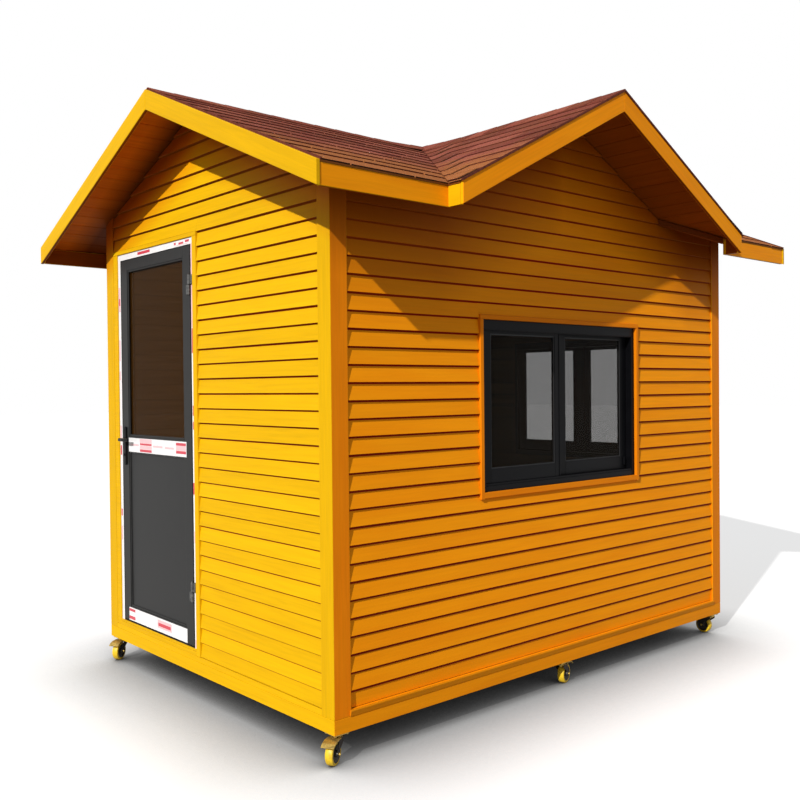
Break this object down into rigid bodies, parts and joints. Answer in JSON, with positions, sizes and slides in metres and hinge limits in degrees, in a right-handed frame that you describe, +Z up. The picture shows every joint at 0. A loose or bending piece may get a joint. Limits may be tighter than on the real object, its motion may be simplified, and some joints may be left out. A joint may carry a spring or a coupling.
{
  "type": "garden chalet",
  "caption": "Timber garden cabin with lap-sided walls, a cross-gabled shingle roof, a part-glazed hinged door, sliding windows in its right and rear walls and swivel casters.",
  "frame": {"origin": "on the ground under the middle of the cabin", "axes": "+X to the right across the front wall, +Y from the front (door) wall to the rear, +Z up"},
  "size_m": [2.946, 3.66, 3.053],
  "materials": {
    "timber_frame": "sawn",
    "floor_timber": "satin",
    "yellow_timber": "varnished",
    "roof_shingle": "rough mineral felt over boards",
    "dark_aluminium": "satin",
    "black_aluminium": "satin",
    "glazing": "clear",
    "black_handle": "satin",
    "hinge_steel": "worn",
    "caster_steel": "yellow passivated",
    "caster_tread": "smooth"
  },
  "bodies": {
    "cabin": {"floor_beams": "timber_frame", "floor_joists": "timber_frame", "floor_boards": "floor_timber", "skirt_boards": "yellow_timber", "corner_boards": "yellow_timber", "front_wall_left": "yellow_timber", "front_wall_right": "yellow_timber", "front_gable": "yellow_timber", "rear_wall": "yellow_timber", "right_wall": "yellow_timber", "left_wall": "yellow_timber", "roof_front_right": "roof_shingle", "roof_front_left": "roof_shingle", "roof_rear_right": "roof_shingle", "roof_rear_left": "roof_shingle", "roof_right_front": "roof_shingle", "roof_right_rear": "roof_shingle", "roof_left_front": "roof_shingle", "roof_left_rear": "roof_shingle", "barge_boards_front": "yellow_timber", "barge_boards_rear": "yellow_timber", "barge_boards_right": "yellow_timber", "barge_boards_left": "yellow_timber", "eave_fascias": "yellow_timber", "door_frame": "dark_aluminium", "door_casing": "yellow_timber", "door_hinges": "hinge_steel", "window_casing_right": "yellow_timber", "window_frame_right": "black_aluminium", "window_sashes_right": "black_aluminium", "window_glass_right": "glazing", "window_casing_rear": "yellow_timber", "window_frame_rear": "black_aluminium", "window_sashes_rear": "black_aluminium", "window_glass_rear": "glazing", "caster_plates": "caster_steel"},
    "door": {"door_leaf": "dark_aluminium", "door_glass": "glazing", "door_handle_plates": "black_handle"},
    "lever": {"door_lever": "black_handle"},
    "swivel_front_right": {"caster_fork_front_right": "caster_steel"},
    "wheel_front_right": {"caster_wheel_front_right": "caster_tread"},
    "swivel_middle_right": {"caster_fork_middle_right": "caster_steel"},
    "wheel_middle_right": {"caster_wheel_middle_right": "caster_tread"},
    "swivel_rear_right": {"caster_fork_rear_right": "caster_steel"},
    "wheel_rear_right": {"caster_wheel_rear_right": "caster_tread"},
    "swivel_front_left": {"caster_fork_front_left": "caster_steel"},
    "wheel_front_left": {"caster_wheel_front_left": "caster_tread"},
    "swivel_middle_left": {"caster_fork_middle_left": "caster_steel"},
    "wheel_middle_left": {"caster_wheel_middle_left": "caster_tread"},
    "swivel_rear_left": {"caster_fork_rear_left": "caster_steel"},
    "wheel_rear_left": {"caster_wheel_rear_left": "caster_tread"}
  },
  "joints": [
    {"name": "door_hinge", "type": "hinge", "parent": "cabin", "child": "door", "pos_m": [-0.1035, -1.551, 1.3], "axis": [0, 0, 1], "range_deg": [0, 110]},
    {"name": "lever_turn", "type": "hinge", "parent": "door", "child": "lever", "pos_m": [-0.881, -1.542, 1.306], "axis": [0, 1, 0], "range_deg": [0, 45], "stiffness_Nm_per_rad": 0.9, "springref_deg": -20.05},
    {"name": "swivel_front_right_turn", "type": "hinge", "parent": "cabin", "child": "swivel_front_right", "pos_m": [1.047, -1.502, 0.118], "axis": [0, 0, 1], "continuous": true},
    {"name": "wheel_front_right_spin", "type": "hinge", "parent": "swivel_front_right", "child": "wheel_front_right", "pos_m": [1.06736, -1.53873, 0.05], "axis": [0.8746, 0.4848, 0], "continuous": true},
    {"name": "swivel_middle_right_turn", "type": "hinge", "parent": "cabin", "child": "swivel_middle_right", "pos_m": [1.047, 0, 0.118], "axis": [0, 0, 1], "continuous": true},
    {"name": "wheel_middle_right_spin", "type": "hinge", "parent": "swivel_middle_right", "child": "wheel_middle_right", "pos_m": [1.03472, 0.04016, 0.05], "axis": [-0.9563, -0.2924, 0], "continuous": true},
    {"name": "swivel_rear_right_turn", "type": "hinge", "parent": "cabin", "child": "swivel_rear_right", "pos_m": [1.047, 1.502, 0.118], "axis": [0, 0, 1], "continuous": true},
    {"name": "wheel_rear_right_spin", "type": "hinge", "parent": "swivel_rear_right", "child": "wheel_rear_right", "pos_m": [1.00506, 1.5042, 0.05], "axis": [-0.0523, -0.9986, 0], "continuous": true},
    {"name": "swivel_front_left_turn", "type": "hinge", "parent": "cabin", "child": "swivel_front_left", "pos_m": [-1.047, -1.502, 0.118], "axis": [0, 0, 1], "continuous": true},
    {"name": "wheel_front_left_spin", "type": "hinge", "parent": "swivel_front_left", "child": "wheel_front_left", "pos_m": [-1.02291, -1.5364, 0.05], "axis": [0.8192, 0.5736, 0], "continuous": true},
    {"name": "swivel_middle_left_turn", "type": "hinge", "parent": "cabin", "child": "swivel_middle_left", "pos_m": [-1.047, 0, 0.118], "axis": [0, 0, 1], "continuous": true},
    {"name": "wheel_middle_left_spin", "type": "hinge", "parent": "swivel_middle_left", "child": "wheel_middle_left", "pos_m": [-1.03472, 0.04016, 0.05], "axis": [-0.9563, 0.2924, 0], "continuous": true},
    {"name": "swivel_rear_left_turn", "type": "hinge", "parent": "cabin", "child": "swivel_rear_left", "pos_m": [-1.047, 1.502, 0.118], "axis": [0, 0, 1], "continuous": true},
    {"name": "wheel_rear_left_spin", "type": "hinge", "parent": "swivel_rear_left", "child": "wheel_rear_left", "pos_m": [-1.08337, 1.523, 0.05], "axis": [-0.5, -0.866, 0], "continuous": true}
  ]
}
